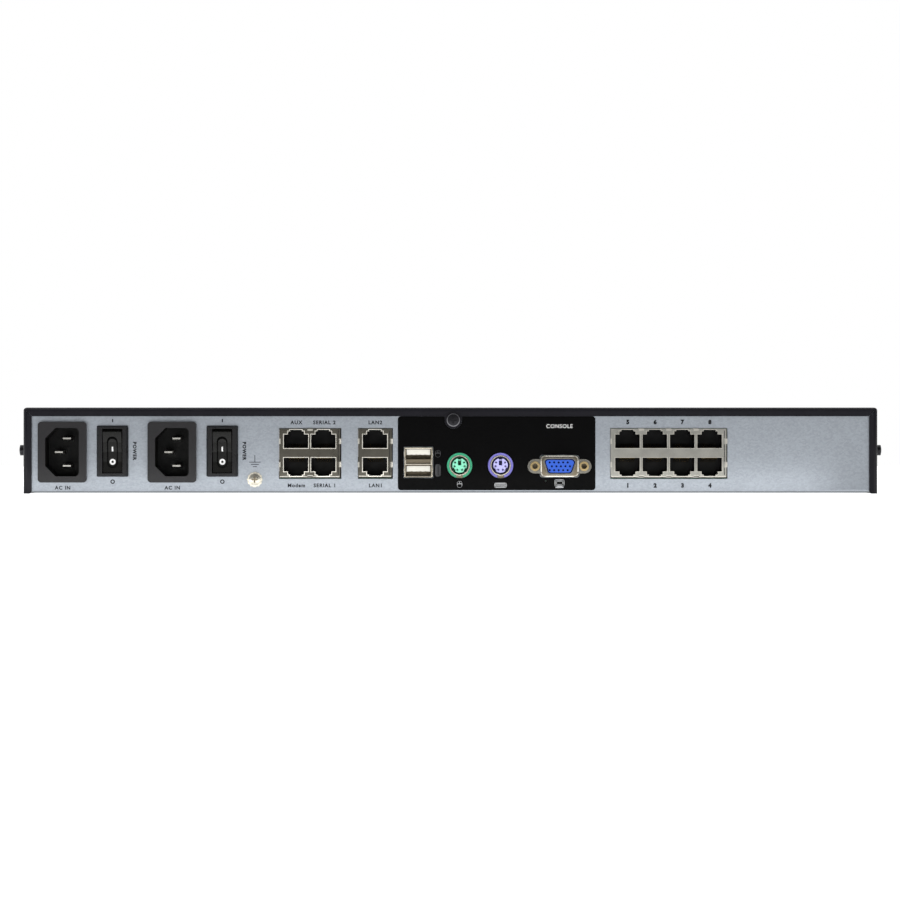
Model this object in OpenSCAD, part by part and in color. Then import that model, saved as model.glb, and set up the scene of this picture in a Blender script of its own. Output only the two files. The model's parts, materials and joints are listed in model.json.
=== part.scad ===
// Rack-mount keyboard, video and mouse switch, one rack unit high.
// X runs to the right across the connector panel, Y from the connector panel to the indicator
// panel, and Z up. The origin is at the centre of the underside. Lengths are in millimetres.

/* [Enclosure] */
// Width over the cover's sides
body_w = 436; // [434:0.5:438]
// Height of the cover
body_h = 44; // [43.6:0.1:44.4]
// Depth from the lip of the screen socket to the face of the front bezel
body_d = 410; // [404:1:420]
// Thickness of the sheet steel
sheet_t = 1; // [0.8:0.1:1.2]
// Outside radius of the cover's bends
bend_r = 2; // [1.6:0.1:2.4]
// Width of the flange that the cover turns over the connector panel
flange_w = 4.5; // [4:0.1:5]
// Height of the tray's underside above the cover's lower edges
tray_lift = 0.5; // [0.3:0.1:0.8]
// Depth of the front bezel
bezel_d = 6; // [5:0.5:7]

/* [Mains supply] */
// Sideways place of the first mains inlet
inlet_x = -198; // [-199:0.5:-197]
// Distance from the first inlet and switch to the second
supply_pitch = 56; // [55:0.5:57]
// Distance from each inlet to its power switch
switch_offset = 25.6; // [24:0.2:26]
// Angle that a rocker turns from one side to the other
rocker_throw = 20; // [16:1:22]

/* [Connector places] */
// Sideways place of the earth screw
earth_x = -99.8; // [-102:0.2:-98]
// Sideways place of the 2 by 2 block of serial jacks
serial_x = -71.8; // [-73:0.1:-71]
// Sideways place of the network jacks
lan_x = -38.5; // [-39:0.1:-38]
// Sideways place of the USB sockets
usb_x = -16.3; // [-16.5:0.1:-16]
// Sideways place of the mouse socket
mouse_x = 4.7; // [4:0.1:5]
// Sideways place of the keyboard socket
keyboard_x = 25.6; // [25:0.1:26]
// Sideways place of the screen socket
vga_x = 55.7; // [55:0.1:56]
// Sideways place of the 4 by 2 block of computer jacks
ports_x = 111.3; // [110:0.1:113]
// Height of the jack blocks' centre above the underside
jack_z = 20.8; // [20.6:0.1:21.4]

/* [Rack mounting] */
// Distance between the bracket holes along the side
rack_pitch_y = 20; // [18:1:24]
// Distance between the bracket holes up the side
rack_pitch_z = 24; // [20:1:26]
// Radius of the bracket holes, for M4 screws
rack_hole_r = 2.1; // [2.1:0.05:2.3]

/* [Cooling] */
// Side of the square fans
fan_side = 40; // [39:0.5:40]
// Depth of the fans
fan_d = 20; // [15:1:24]
// Number of blades on each fan
fan_blades = 7; // [5:1:9]

/* [Hidden] */
$fn = 48;

cut = 1;            // how far a cutter runs past the face that it opens
skin_gap = 0.2;     // free play between the tray and the cover
side_flange_w = flange_w - 0.2;

vga_reach = 5.6;
rear_y = vga_reach - body_d / 2;
front_y = body_d / 2;
bezel_back = front_y - bezel_d;
cover_rear = rear_y - sheet_t;
tray_w = body_w - 2 * (sheet_t + skin_gap);
tray_top = body_h - bend_r;
tray_front = bezel_back - sheet_t;
floor_z = tray_lift + sheet_t;

board_top = 8;
board_t = 1.6;
board_left = -97;
board_right = 185;
board_d = 170;

jack_pitch = 13.97;
jack_h = 24.8;
jack_d = 25;
jack_proud = 0.6;
jack_gap_left = 0.15;   // from each side of a shield to the panel's cut edge
jack_gap_right = 0.55;
jack_gap_bottom = 0.85;
jack_gap_top = 0.25;
shield_t = 0.3;
port_w = 12.5;
port_h = 7;
port_offset = 5.95;
wire_pitch = 1.02;

inlet_w = 24.8;
inlet_h = 31;
inlet_z = 21.2;
inlet_recess_d = 15;
pin_w = 4;
pin_t = 2;
pin_spacing = 14;
pin_shift = 4;

switch_z = 21.7;
bezel_w = 16.1;
bezel_h = 26.1;
bezel_proud = 2.4;
well_w = 10.3;
rocker_w = 9.5;
rocker_r = 11.1;
pivot_y = 1;
pivot_r = 1.2;
pivot_gap = 0.05;

usb_w = 14.4;
usb_h = 15.2;
usb_z = 16;
usb_pitch = 8.5;
din_z = 14.4;
din_r = 6.4;
din_d = 9;
vga_z = 14;
vga_screw_pitch = 25;

overlay_t = 0.25;
overlay_left = -26.8;
overlay_right = 74;
overlay_bottom = 1.8;
overlay_top = body_h - flange_w - 0.02;

rear_screw_x = 1.5;
rear_screw_z = 37.6;
side_screw_z = 22.2;
side_screw_y = [-192.4, 30, 150];
earth_z = 7.2;

rack_y = bezel_back - 28;
rack_z = 22;

vent_pitch = 4;
vent_slot = [2.4, 13];
vent_columns = 9;
fan_y = [-70, -22];
fan_z = 21.9;
fan_x = tray_w / 2 - sheet_t - fan_d / 2;
fan_bore_r = 18.9;
fan_shaft_r = 1.5;

led_z = 25;
led_r = 1.5;
led_x = [for (i = [0:7]) 176 - 12 * i, 70, 58, 40, 28];
select_x = 10;
reset_x = -6;
button_z = 25;
indicator_y = tray_front - 9;
plunger_r = 1.5;
switch_h = 3;
bezel_screw_r = 1.25;

supply_x = [inlet_x + 9, inlet_x + 9 + supply_pitch - 3];
supply_y = rear_y + 48;
supply_w = 46;
supply_d = 150;

// ---------------------------------------------------------------- helpers

// Extrudes a shape drawn in X and Z, from y0 to y1.
module along_y(y0, y1) {
    translate([0, y1, 0]) rotate([90, 0, 0]) linear_extrude(y1 - y0) children();
}

// Extrudes a shape drawn in Y and Z, from x0 to x1.
module along_x(x0, x1) {
    translate([x0, 0, 0]) rotate([90, 0, 90]) linear_extrude(x1 - x0) children();
}

// A cylinder along Y, from y0 to y1.
module rod_y(r, y0, y1) {
    translate([0, y1, 0]) rotate([90, 0, 0]) cylinder(r = r, h = y1 - y0);
}

// A cylinder along X, from x0 to x1.
module rod_x(r, x0, x1) {
    translate([x0, 0, 0]) rotate([0, 90, 0]) cylinder(r = r, h = x1 - x0);
}

// A box from one corner to the other.
module block(low, high) {
    translate(low) cube(high - low);
}

module at_rear(x, z) {
    translate([x, rear_y, z]) children();
}

module rounded_rect(w, h, r) {
    square([w - 2 * r, h], center = true);
    square([w, h - 2 * r], center = true);
    for (sx = [-1, 1], sy = [-1, 1])
        translate([sx * (w / 2 - r), sy * (h / 2 - r)]) circle(r);
}

// A slot with round ends, w long and h high.
module stadium(w, h) {
    square([w - h, h], center = true);
    for (s = [-1, 1]) translate([s * (w - h) / 2, 0]) circle(h / 2);
}

// A rectangle from x0 to x1 and y0 to y1, with round corners at y1.
module arch(x0, x1, y0, y1, r) {
    translate([x0, y0]) square([x1 - x0, y1 - r - y0]);
    translate([x0 + r, y0]) square([x1 - x0 - 2 * r, y1 - y0]);
    for (x = [x0 + r, x1 - r]) translate([x, y1 - r]) circle(r);
}

// A round wire along a route, as one closed polyhedron. across is a direction that the route
// never runs along.
module tube(route, r, across, sides = 8) {
    last = len(route) - 1;
    rings = [for (i = [0:last])
        let (
            a = route[max(i - 1, 0)],
            b = route[min(i + 1, last)],
            t = (b - a) / norm(b - a),
            side = cross(t, across),
            u = side / norm(side),
            v = cross(u, t)
        )
        for (k = [0:sides - 1])
            route[i] + r * (cos(360 * k / sides) * u + sin(360 * k / sides) * v)];
    skin = [for (i = [0:last - 1], k = [0:sides - 1])
        let (n = (k + 1) % sides)
        each [[i * sides + k, i * sides + n, (i + 1) * sides + n],
              [i * sides + k, (i + 1) * sides + n, (i + 1) * sides + k]]];
    start = [for (k = [1:sides - 2]) [0, k + 1, k]];
    end = [for (k = [1:sides - 2]) [last * sides, last * sides + k, last * sides + k + 1]];
    polyhedron(rings, concat(skin, start, end));
}

// Points of a smooth curve from a to b that leaves along da and arrives along db.
function bend(a, da, b, db, steps = 8) = [for (i = [0:steps])
    let (t = i / steps, s = 1 - t)
    s * s * s * a + 3 * s * s * t * (a + da) + 3 * s * t * t * (b - db) + t * t * t * b];

// ---------------------------------------------------------------- fasteners

// A pan-head screw along +Y, with its head's underside at the origin.
module pan_screw(head_r, head_h, shank_r, shank_l) {
    dome_h = head_h * 0.18;
    dome_r = (head_r * head_r + dome_h * dome_h) / (2 * dome_h);
    difference() {
        intersection() {
            rod_y(head_r, -head_h, 0);
            translate([0, dome_r - head_h, 0]) sphere(r = dome_r, $fn = 96);
        }
        for (turn = [0, 90]) rotate([0, turn, 0])
            translate([0, -head_h, 0]) cube([head_r * 1.05, head_h * 1.2, head_r * 0.26], center = true);
    }
    rod_y(shank_r, -0.01, shank_l);
}

module cover_rear_screw() {
    color("#17171a") at_rear(rear_screw_x, rear_screw_z)
        translate([0, -sheet_t, 0]) pan_screw(3.4, 2.2, 1.5, 7);
}

module cover_side_screws() {
    color("#17171a") for (side = [-1, 1], y = side_screw_y)
        translate([side * body_w / 2, y, side_screw_z])
            rotate([0, 0, side * 90]) pan_screw(2.7, 2.8, 1.45, 5);
}

module earth_screw() {
    color("#d9d4bf") at_rear(earth_x, earth_z)
        translate([0, -0.8, 0]) pan_screw(2.9, 2.1, 1.5, 8);
}

module earth_washer() {
    color("#cfc9b4") at_rear(earth_x, earth_z) difference() {
        union() {
            rod_y(3.7, -0.8, 0);
            for (turn = [0:30:330]) rotate([0, turn, 0])
                translate([0, -0.4, 0]) cube([7.9, 0.5, 0.8], center = true);
        }
        rod_y(1.55, -cut - 1, cut);
    }
}

// Places children at each bracket hole, facing outwards along +X.
module at_rack_holes() {
    for (side = [0, 1], dy = [-0.5, 0.5], dz = [-0.5, 0.5])
        mirror([side, 0, 0])
            translate([0, rack_y + dy * rack_pitch_y, rack_z + dz * rack_pitch_z]) children();
}

module rack_nuts() {
    inner = tray_w / 2 - sheet_t;
    color("#c8c8c8") at_rack_holes() difference() {
        rod_x(3.4, inner - 2.4, inner);
        rod_x(rack_hole_r, inner - 3.4, inner + cut);
    }
}

// ---------------------------------------------------------------- enclosure

// The solid that a folded cover wraps: square at its lower and front edges, rounded elsewhere.
module cover_form(inset, radius) {
    half = body_w / 2 - inset;
    low = inset > 0 ? -cut : 0;
    high = body_h - inset;
    back = cover_rear + inset;
    front = bezel_back + (inset > 0 ? cut : 0);
    intersection() {
        along_y(back, front) arch(-half, half, low, high, radius);
        mirror([0, 1, 0]) translate([0, 0, low]) linear_extrude(high - low)
            arch(-half, half, -front, -back, radius);
        along_x(-half, half) mirror([1, 0])
            union() {
                translate([-front, low]) square([front - back - radius, high - low]);
                translate([-front, low]) square([front - back, high - radius - low]);
                translate([-back - radius, high - radius]) circle(radius);
            }
    }
}

// The cutters for the side vents, for one side of the case.
module side_vents(x0, x1) {
    for (y = fan_y, column = [0:vent_columns - 1], row = [-1, 1])
        block(
            [x0, y + (column - (vent_columns - 1) / 2) * vent_pitch - vent_slot[0] / 2,
             fan_z + row * 8.2 - vent_slot[1] / 2],
            [x1, y + (column - (vent_columns - 1) / 2) * vent_pitch + vent_slot[0] / 2,
             fan_z + row * 8.2 + vent_slot[1] / 2]);
}

module side_holes(x0, x1, screw_r) {
    for (side = [0, 1]) mirror([side, 0, 0]) {
        side_vents(x0, x1);
        for (y = side_screw_y) translate([0, y, side_screw_z]) rod_x(screw_r, x0, x1);
    }
    at_rack_holes() rod_x(rack_hole_r, x0, x1);
}

module screw_tab(grow = 0) {
    translate([rear_screw_x, rear_screw_z]) circle(4.4 + grow);
    translate([rear_screw_x - 4.4 - grow, rear_screw_z])
        square([8.8 + 2 * grow, body_h - 3 - rear_screw_z]);
}

// What is cut away to round the corner that lies at the origin and opens towards +X and +Y.
module corner_waste(r) {
    difference() {
        translate([-cut, -cut]) square(r + cut);
        translate([r, r]) circle(r);
    }
}

module top_cover() {
    half = body_w / 2;
    opening_x = half - side_flange_w;
    opening_z = body_h - flange_w;
    end_r = 1.5;
    mitre_w = 0.22;
    mitre_reach = side_flange_w / 2 - 0.7;
    color("#1c1c20") difference() {
        union() {
            difference() {
                cover_form(0, bend_r);
                cover_form(sheet_t, bend_r - sheet_t);
                block([-opening_x, cover_rear - cut, -cut], [opening_x, rear_y + 0.01, opening_z]);
                // round ends of the side flanges
                for (side = [0, 1]) mirror([side, 0, 0]) {
                    along_y(cover_rear - cut, rear_y + 0.01) translate([opening_x - 0.01, -0.01])
                        corner_waste(end_r);
                    along_y(cover_rear - cut, rear_y + sheet_t) translate([half, 0]) mirror([1, 0])
                        corner_waste(end_r);
                }
                // open mitres where the flanges meet
                for (side = [-1, 1])
                    translate([side * (opening_x + mitre_reach), rear_y, opening_z + mitre_reach])
                        rotate([0, side * -45, 0]) cube([5.2, 4 * sheet_t, mitre_w], center = true);
            }
            along_y(cover_rear, rear_y) screw_tab();
        }
        translate([rear_screw_x, 0, rear_screw_z]) rod_y(1.6, cover_rear - cut, rear_y + cut);
        side_holes(half - sheet_t - cut, half + cut, 1.6);
    }
}

// The open-topped tray's form: bottom, sides and connector panel.
module tray_form(inset, radius) {
    half = tray_w / 2 - inset;
    low = tray_lift + inset;
    high = tray_top + (inset > 0 ? cut : 0);
    back = rear_y + inset;
    front = tray_front + (inset > 0 ? cut : 0);
    intersection() {
        mirror([0, 0, 1]) along_y(back, front) arch(-half, half, -high, -low, radius);
        mirror([0, 1, 0]) translate([0, 0, low]) linear_extrude(high - low)
            arch(-half, half, -front, -back, radius);
        along_x(-half, half) union() {
            translate([back + radius, low]) square([front - back - radius, high - low]);
            translate([back, low + radius]) square([front - back, high - low - radius]);
            translate([back + radius, low + radius]) circle(radius);
        }
    }
}

module din_hole() {
    circle(din_r + 0.2);
}

// Every opening that the console connectors need, shared by the tray and the overlay.
module console_openings(grow) {
    translate([usb_x, usb_z]) square([usb_w + 0.6 + grow, usb_h + 0.6 + grow], center = true);
    translate([mouse_x, din_z]) din_hole();
    translate([keyboard_x, din_z]) din_hole();
    translate([vga_x, vga_z]) rounded_rect(20 + grow, 11.4 + grow, 1.5);
    for (s = [-1, 1]) translate([vga_x + s * vga_screw_pitch / 2, vga_z]) circle(2.6 + grow / 2);
    translate([48.6, 6.4]) circle(0.5);
}

module chassis_tray() {
    color("#aeb4bd") difference() {
        tray_form(0, 1.6);
        tray_form(sheet_t, 0.6);
        along_y(rear_y - cut, rear_y + sheet_t + cut) {
            console_openings(0);
            for (i = [0, 1]) {
                translate([inlet_x + i * supply_pitch, inlet_z]) square([20.8, 27.8], center = true);
                translate([inlet_x + switch_offset + i * supply_pitch, switch_z])
                    square([13, 24.9], center = true);
            }
            jack_opening(serial_x, 2);
            jack_opening(lan_x, 1);
            jack_opening(ports_x, 4);
            translate([earth_x, earth_z]) circle(1.6);
            translate([rear_screw_x, rear_screw_z]) circle(1.6);
        }
        side_holes(tray_w / 2 - sheet_t - cut, tray_w / 2 + cut, 1.5);
    }
}

module console_overlay() {
    color("#101012") difference() {
        translate([(overlay_left + overlay_right) / 2, 0, (overlay_bottom + overlay_top) / 2])
            along_y(rear_y - overlay_t, rear_y)
                rounded_rect(overlay_right - overlay_left, overlay_top - overlay_bottom, 1.6);
        along_y(rear_y - cut, rear_y + cut) {
            console_openings(0.2);
            screw_tab(0.03);
        }
    }
}

module grille_slots(y0, y1, slot) {
    for (i = [0:19]) block([-196 + 7.4 * i - slot / 2, y0, 9], [-196 + 7.4 * i + slot / 2, y1, 35]);
}

module front_plate() {
    lip = 8;
    color("#b3b8bf") difference() {
        union() {
            block([-tray_w / 2, tray_front, tray_lift], [tray_w / 2, bezel_back, tray_top]);
            block([-tray_w / 2 + 3, tray_front - lip, tray_top - sheet_t],
                  [tray_w / 2 - 3, tray_front + 0.5, tray_top]);
            for (p = indicator_screw_places) translate([p[0], 0, p[1]])
                rod_y(2.4, indicator_y, tray_front + 0.5);
        }
        for (p = indicator_screw_places) translate([p[0], 0, p[1]])
            rod_y(bezel_screw_r + 0.02, indicator_y - cut, bezel_back - 0.4);
        for (p = bezel_screw_places) translate([p[0], 0, p[1]])
            rod_y(bezel_screw_r + 0.15, tray_front - cut, bezel_back + cut);
        for (x = led_x) translate([x, 0, led_z]) rod_y(led_r + 0.3, tray_front - cut, bezel_back + cut);
        translate([select_x, 0, button_z]) rod_y(4, tray_front - cut, bezel_back + cut);
        translate([reset_x, 0, button_z]) rod_y(2, tray_front - cut, bezel_back + cut);
        grille_slots(tray_front - cut, bezel_back + cut, 3.2);
    }
}

module front_bezel() {
    wall = 2;
    r = 2.4;
    color("#1b1b1e") difference() {
        intersection() {
            translate([0, 0, body_h / 2]) along_y(bezel_back, front_y) rounded_rect(body_w, body_h, bend_r);
            translate([0, 0, -cut]) linear_extrude(body_h + 2 * cut)
                arch(-body_w / 2, body_w / 2, bezel_back, front_y, r);
            along_x(-body_w / 2 - cut, body_w / 2 + cut) rotate(-90) mirror([1, 0])
                arch(0, body_h, bezel_back, front_y, r);
        }
        translate([0, 0, body_h / 2]) along_y(bezel_back - cut, front_y - wall) difference() {
            rounded_rect(body_w - 2 * wall, body_h - 2 * wall, 1);
            for (p = bezel_screw_places) translate([p[0], p[1] - body_h / 2]) circle(3);
        }
        for (p = bezel_screw_places) translate([p[0], 0, p[1]])
            rod_y(bezel_screw_r + 0.02, bezel_back - cut, front_y - 1.2);
        // recessed strip around the lights and buttons
        translate([85, 0, led_z]) along_y(front_y - 0.6, front_y + cut) rounded_rect(214, 22, 3);
        for (x = led_x) translate([x, 0, led_z]) rod_y(led_r + 0.15, bezel_back, front_y + cut);
        translate([select_x, 0, button_z]) rod_y(3.65, bezel_back, front_y + cut);
        translate([reset_x, 0, button_z]) rod_y(1.45, bezel_back, front_y + cut);
        grille_slots(bezel_back, front_y + cut, 3.6);
    }
}

// ---------------------------------------------------------------- modular jacks

function jack_w(columns) = columns * jack_pitch + 3.2;
function port_centres(columns) = [for (i = [0:columns - 1]) (i - (columns - 1) / 2) * jack_pitch];

module jack_opening(x, columns) {
    translate([x - jack_w(columns) / 2 - jack_gap_left, jack_z - jack_h / 2 - jack_gap_bottom])
        square([jack_w(columns) + jack_gap_left + jack_gap_right, jack_h + jack_gap_bottom + jack_gap_top]);
}

// The mouth of one jack, with its latch notch pointing up. grow opens it up all round.
module jack_mouth(grow = 0) {
    translate([0, port_offset]) {
        square([port_w + 2 * grow, port_h + 2 * grow], center = true);
        for (step = [[8.2, 1.6], [6.1, 2.35]]) translate([-step[0] / 2 - grow, 0])
            square([step[0] + 2 * grow, port_h / 2 + step[1] + grow]);
    }
}

// Both rows of mouths of a block.
module jack_mouths(columns, grow = 0) {
    for (x = port_centres(columns), row = [0, 1])
        translate([x, 0]) mirror([0, row]) jack_mouth(grow);
}

module jack_shield(x, columns) {
    w = jack_w(columns);
    finger_y = 0.1 - jack_proud;
    finger_d = 2.6;
    finger_half = 1.35;
    free = 0.02;
    tab_z = jack_h / 2 + 0.08;
    color("#a9a699") at_rear(x, jack_z) {
        difference() {
            block([-w / 2, -jack_proud, -jack_h / 2], [w / 2, jack_d, jack_h / 2]);
            block([-w / 2 + shield_t, shield_t - jack_proud, -jack_h / 2 + shield_t],
                  [w / 2 - shield_t, jack_d + cut, jack_h / 2 - shield_t]);
            along_y(-jack_proud - cut, cut) jack_mouths(columns);
        }
        // turned-in lips round each mouth
        difference() {
            along_y(-jack_proud - 0.25, -jack_proud + 0.3) jack_mouths(columns, 0.35);
            along_y(-jack_proud - cut, cut) jack_mouths(columns);
        }
        // earthing fingers that reach across to the panel's cut edge
        for (sz = [-1, 1]) {
            block([free - w / 2 - jack_gap_left, finger_y, sz * port_offset - finger_half],
                  [free - w / 2, finger_d, sz * port_offset + finger_half]);
            block([w / 2 - free, finger_y, sz * port_offset - finger_half],
                  [w / 2 + jack_gap_right - free, finger_d, sz * port_offset + finger_half]);
        }
        if (columns > 1)
            for (i = [1:columns - 1], sz = [-1, 1])
                block([(i - columns / 2) * jack_pitch - finger_half, finger_y, sz * tab_z - shield_t / 2],
                      [(i - columns / 2) * jack_pitch + finger_half, finger_d, sz * tab_z + shield_t / 2]);
    }
}

module jack_housing(x, columns) {
    gap = 0.02;
    w = jack_w(columns) - 2 * shield_t - 2 * gap;
    h = jack_h - 2 * shield_t - 2 * gap;
    front = shield_t - jack_proud + gap;
    cavity_d = 14.5;
    color("#141414") at_rear(x, jack_z) difference() {
        block([-w / 2, front, -h / 2], [w / 2, jack_d - 1, h / 2]);
        along_y(front - cut, cavity_d) jack_mouths(columns);
    }
}

module jack_contacts() {
    wire = 0.42;
    reach = 10.8;
    color("#c9a24a") for (jack = [[ports_x, 4], [serial_x, 2], [lan_x, 1]])
        at_rear(jack[0], jack_z) for (cx = port_centres(jack[1]), row = [0, 1], k = [0:7])
            mirror([0, 0, row])
                translate([cx + (k - 3.5) * wire_pitch, 3.4, port_offset - port_h / 2 + wire / 2])
                    rotate([10, 0, 0]) block([-wire / 2, 0, -wire / 2], [wire / 2, reach, wire / 2]);
}

// ---------------------------------------------------------------- console connectors

module usb_shell() {
    wall = 0.35;
    depth = 17;
    proud = 1.2;
    mouth_w = 12.7;
    mouth_h = 5.3;
    color("#b9b19a") at_rear(usb_x, usb_z) {
        difference() {
            block([-usb_w / 2, -proud, -usb_h / 2], [usb_w / 2, depth, usb_h / 2]);
            for (s = [-1, 1]) {
                block([-mouth_w / 2, -proud - cut, s * usb_pitch / 2 - mouth_h / 2],
                      [mouth_w / 2, depth - 3, s * usb_pitch / 2 + mouth_h / 2]);
                // flared lip of each mouth
                translate([0, 0, s * usb_pitch / 2])
                    block([-mouth_w / 2 - wall, -proud - cut, -mouth_h / 2 - wall],
                          [mouth_w / 2 + wall, -proud + wall, mouth_h / 2 + wall]);
            }
            // recess between the two mouths
            block([-mouth_w / 2, -proud - cut, -0.7], [mouth_w / 2, -proud + 1.6, 1.25]);
        }
        // side springs
        for (sx = [-1, 1], sz = [-1, 1])
            block([sx * (usb_w / 2 + 0.1) - 0.12, -proud + 0.4, sz * usb_pitch / 2 - 1.2],
                  [sx * (usb_w / 2 + 0.1) + 0.12, 3, sz * usb_pitch / 2 + 1.2]);
    }
}

module usb_tongues() {
    color("#e8e4d6") at_rear(usb_x, usb_z) for (s = [-1, 1]) translate([0, 0, s * usb_pitch / 2])
        difference() {
            block([-6.05, 0.2, -0.45], [6.05, 14, 2.35]);
            for (x = [-3.5, -1, 1, 3.5])
                block([x - 0.5, -cut, -0.6], [x + 0.5, 10, -0.2]);
        }
}

module din_socket(x, shade) {
    bore_r = 5.3;
    color(shade) at_rear(x, din_z) difference() {
        union() {
            rod_y(din_r, -1.3, 2);
            block([-7, 1.2, -din_r], [7, 13, 6.6]);
        }
        rod_y(bore_r, -2, din_d);
        // slot at the foot of the collar
        block([-1.7, -2, -din_r - cut], [1.7, 1.15, -4.6]);
    }
}

// The insulator inside each round socket, with three keys, the polarising hole and six contacts.
module din_inserts() {
    insert_r = 3.7;
    key_w = 1.7;
    holes = [[-2.3, 1.5], [2.3, 1.5], [-2.55, -0.4], [2.55, -0.4], [-1.2, -2.2], [1.2, -2.2]];
    color("#8fd0b4") for (x = [mouse_x, keyboard_x]) at_rear(x, din_z) difference() {
        rod_y(insert_r, -0.6, din_d);
        for (turn = [90, 215, 325]) rotate([0, -turn, 0])
            block([insert_r - 0.6, -2, -0.9], [insert_r + cut, 7, 0.9]);
        block([-key_w / 2, -2, 0.1], [key_w / 2, 8, 2.6]);
        for (h = holes) translate([h[0], 0, h[1]]) rod_y(0.5, -2, 8);
    }
}

module din_shields() {
    color("#c9c4b8") for (x = [mouse_x, keyboard_x]) at_rear(x, din_z) difference() {
        rod_y(5.15, -1.6, 8.5);
        rod_y(4.7, -3, 9);
        // the shield is open at the top, where the plug's key passes
        translate([0, -cut, 0]) block([-2.2, -3, 3], [2.2, 1.5, 7]);
    }
}

// The D-shaped outline of the screen socket, wide side up.
module d_outline(w, h, r) {
    slope = 1.3;
    centres = [[w / 2 - r, h / 2 - r, 0], [-w / 2 + r, h / 2 - r, 90],
               [-w / 2 + slope + r, -h / 2 + r, 170], [w / 2 - slope - r, -h / 2 + r, 270]];
    sweep = [90, 80, 100, 80];
    polygon([for (i = [0:3], step = [0:8])
        let (turn = centres[i][2] + sweep[i] * step / 8)
        [centres[i][0] + r * cos(turn), centres[i][1] + r * sin(turn)]]);
}

module vga_shell() {
    flange_t = 0.8;
    color("#c4bda6") at_rear(vga_x, vga_z) {
        difference() {
            union() {
                along_y(-overlay_t - flange_t, -overlay_t) stadium(32.6, 7.3);
                along_y(-overlay_t - flange_t - 0.7, -overlay_t) rounded_rect(19.4, 10.9, 2.2);
                along_y(-vga_reach, 1) d_outline(17, 8.9, 2.3);
            }
            along_y(-vga_reach - cut, 2) d_outline(15.5, 7.4, 1.7);
            for (s = [-1, 1]) translate([s * vga_screw_pitch / 2, 0, 0]) rod_y(2.5, -4, 2);
        }
        block([-9.6, 1, -5.2], [9.6, 14, 5.2]);
    }
}

module vga_insulator() {
    pitch = 2.29;
    row_pitch = 1.98;
    shift = [0, 0.5, 0];
    color("#2f5fe0") at_rear(vga_x, vga_z) difference() {
        along_y(-vga_reach + 0.5, 1) d_outline(15.4, 7.3, 1.65);
        for (row = [0:2], i = [-2:2])
            translate([(i + shift[row]) * pitch - 0.25 * pitch, 0, (1 - row) * row_pitch])
                rod_y(0.52, -vga_reach - cut, -1);
    }
}

module vga_jackscrews() {
    color("#b59a58") at_rear(vga_x, vga_z) for (s = [-1, 1])
        translate([s * vga_screw_pitch / 2, 0, 0]) difference() {
            rod_y(2.45, -2.2, 8);
            rod_y(1.42, -2.2 - cut, 6);
        }
}

// ---------------------------------------------------------------- mains inlets and switches

module inlet_recess() {
    w = 17.2;
    h = 24.7;
    chamfer = 5.3;
    r = 2.2;
    polygon([[-w / 2 + chamfer, -h / 2], [w / 2 - r, -h / 2], [w / 2 - r, h / 2],
             [-w / 2 + chamfer, h / 2], [-w / 2, h / 2 - chamfer], [-w / 2, -h / 2 + chamfer]]);
    translate([w / 2 - 2 * r, -h / 2 + r]) square([2 * r, h - 2 * r]);
    for (s = [-1, 1]) translate([w / 2 - r, s * (h / 2 - r)]) circle(r);
}

// Places of the three pins: two live ones and the earth pin, each with how far it stands forward.
pin_places = [[2, pin_spacing / 2, 0], [2, -pin_spacing / 2, 0], [2 - pin_shift, 0, 1.4]];

module mains_inlet(x) {
    flange_t = 2.6;
    color("#2a2a2d") at_rear(x, inlet_z) difference() {
        union() {
            along_y(-flange_t, 0) rounded_rect(inlet_w, inlet_h, 1.8);
            along_y(-0.5, 19) rounded_rect(20.2, 27.2, 1);
        }
        along_y(-flange_t - cut, inlet_recess_d) inlet_recess();
        for (p = pin_places) translate([p[0], 0, p[1]])
            block([-pin_w / 2, inlet_recess_d - cut, -pin_t / 2], [pin_w / 2, 20, pin_t / 2]);
    }
}

module inlet_pins() {
    tip = 1.2;
    color("#d8d4c8") for (i = [0, 1]) at_rear(inlet_x + i * supply_pitch, inlet_z)
        for (p = pin_places) translate([p[0], 0, p[1]]) {
            along_x(-pin_w / 2, pin_w / 2)
                polygon([[2.5 - p[2] + tip, -pin_t / 2], [25, -pin_t / 2], [25, pin_t / 2],
                         [2.5 - p[2] + tip, pin_t / 2], [2.5 - p[2], 0.4], [2.5 - p[2], -0.4]]);
            difference() {
                block([-2.4, 25, -0.4], [2.4, 32, 0.4]);
                translate([0, 29.5, 0]) cylinder(r = 0.8, h = 3, center = true);
            }
        }
}

// The section of the switch's bevelled frame, with its front towards -X.
module bezel_section(w) {
    bevel = 0.9;
    edge = 0.8;
    polygon([[-bezel_proud, bevel - w / 2], [-bezel_proud, w / 2 - bevel], [-edge, w / 2],
             [0, w / 2], [0, -w / 2], [-edge, -w / 2]]);
}

// The same section with its front towards -Y.
module bezel_section_across(w) {
    rotate(90) bezel_section(w);
}

module switch_body(x) {
    body_w2 = 12.6;
    body_h2 = 24.5;
    depth = 14;
    floor_y = 10;
    color("#1d1d1f") at_rear(x, switch_z) difference() {
        union() {
            intersection() {
                along_y(-bezel_proud, 0) rounded_rect(bezel_w, bezel_h, 0.7);
                along_x(-bezel_w, bezel_w) bezel_section(bezel_h);
                linear_extrude(2 * bezel_h, center = true) bezel_section_across(bezel_w);
            }
            block([-body_w2 / 2, -0.5, -body_h2 / 2], [body_w2 / 2, depth, body_h2 / 2]);
        }
        block([-well_w / 2, -bezel_proud - cut, -rocker_r - 0.25], [well_w / 2, floor_y, rocker_r + 0.25]);
        translate([0, pivot_y, 0]) rod_x(pivot_r + pivot_gap, -body_w2, body_w2);
    }
}

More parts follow.
